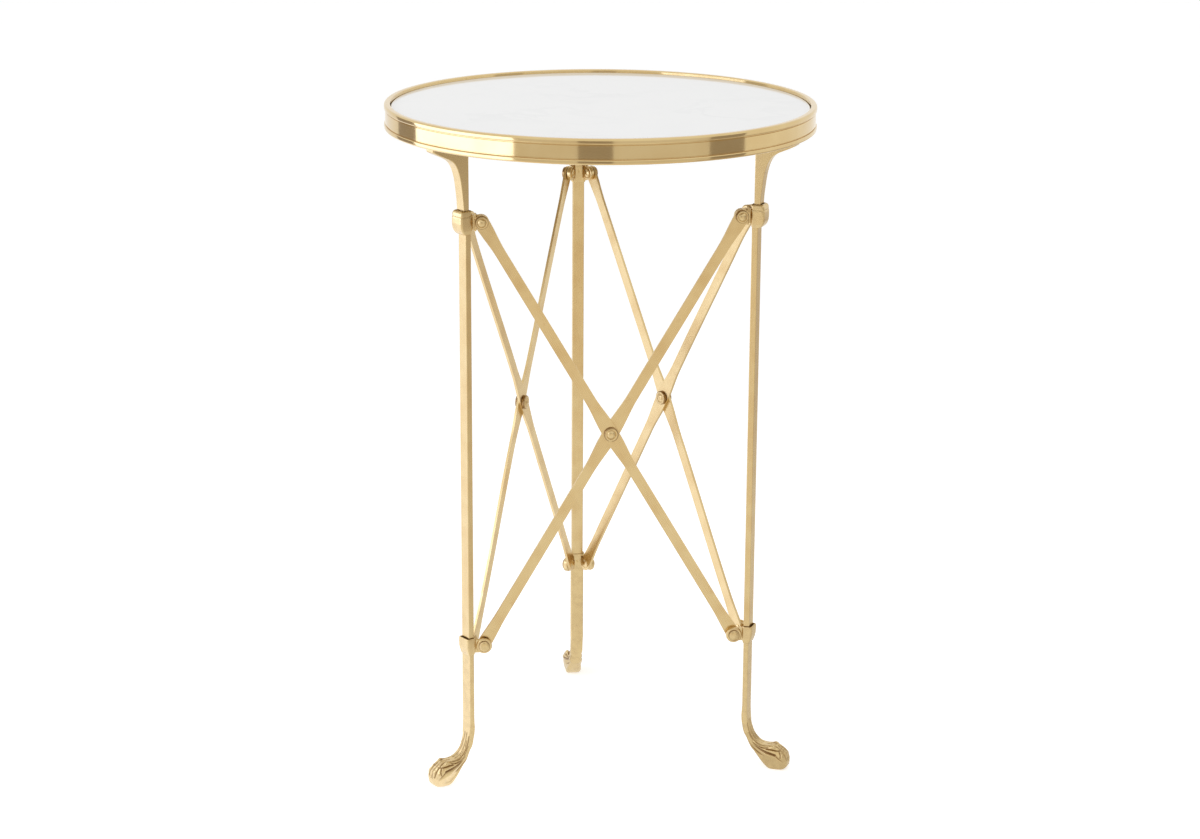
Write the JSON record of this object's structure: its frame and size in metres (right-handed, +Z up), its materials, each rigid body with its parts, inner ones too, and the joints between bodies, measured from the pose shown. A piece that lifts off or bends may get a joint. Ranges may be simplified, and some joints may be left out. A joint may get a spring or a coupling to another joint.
{
  "type": "wine table",
  "caption": "Round drinks table: white marble slab in a beaded brass rim on flat-bar legs with paw feet, tied by crossed flat braces riveted to collars.",
  "frame": {"origin": "on the floor under the middle of the top", "axes": "+Z up; the back leg stands along +Y, the other two towards -X-Y and +X-Y"},
  "size_m": [0.406, 0.406, 0.642],
  "materials": {
    "white_marble": "polished",
    "turned_brass": "satin, brushed round",
    "bar_brass": "satin, brushed lengthwise",
    "cast_brass": "satin, cast",
    "rivet_brass": "satin",
    "painted_steel": "brass-coloured lacquer",
    "plated_steel": "plated",
    "bedding_dots": "clear, soft"
  },
  "bodies": {
    "stand": {"top_rim": "turned_brass", "support_plate": "painted_steel", "marble_pads": "bedding_dots", "top_screws": "plated_steel", "rim_screws": "plated_steel", "capital_studs": "plated_steel", "foot_studs": "plated_steel", "collar_pins": "bar_brass", "upper_pivot_rivets": "rivet_brass", "lower_pivot_rivets": "rivet_brass", "crossing_rivets": "rivet_brass", "back_leg_bar": "bar_brass", "back_capital": "cast_brass", "back_upper_collar": "cast_brass", "back_lower_collar": "cast_brass", "back_paw_foot": "cast_brass", "left_leg_bar": "bar_brass", "left_capital": "cast_brass", "left_upper_collar": "cast_brass", "left_lower_collar": "cast_brass", "left_paw_foot": "cast_brass", "right_leg_bar": "bar_brass", "right_capital": "cast_brass", "right_upper_collar": "cast_brass", "right_lower_collar": "cast_brass", "right_paw_foot": "cast_brass", "front_bay_outer_brace": "bar_brass", "front_bay_inner_brace": "bar_brass", "right_bay_outer_brace": "bar_brass", "right_bay_inner_brace": "bar_brass", "left_bay_outer_brace": "bar_brass", "left_bay_inner_brace": "bar_brass"},
    "slab": {"marble_top": "white_marble"}
  },
  "joints": [
    {"name": "slab_lift", "type": "slide", "parent": "stand", "child": "slab", "axis": [0, 0, 1], "range_m": [0, 0.06]}
  ]
}
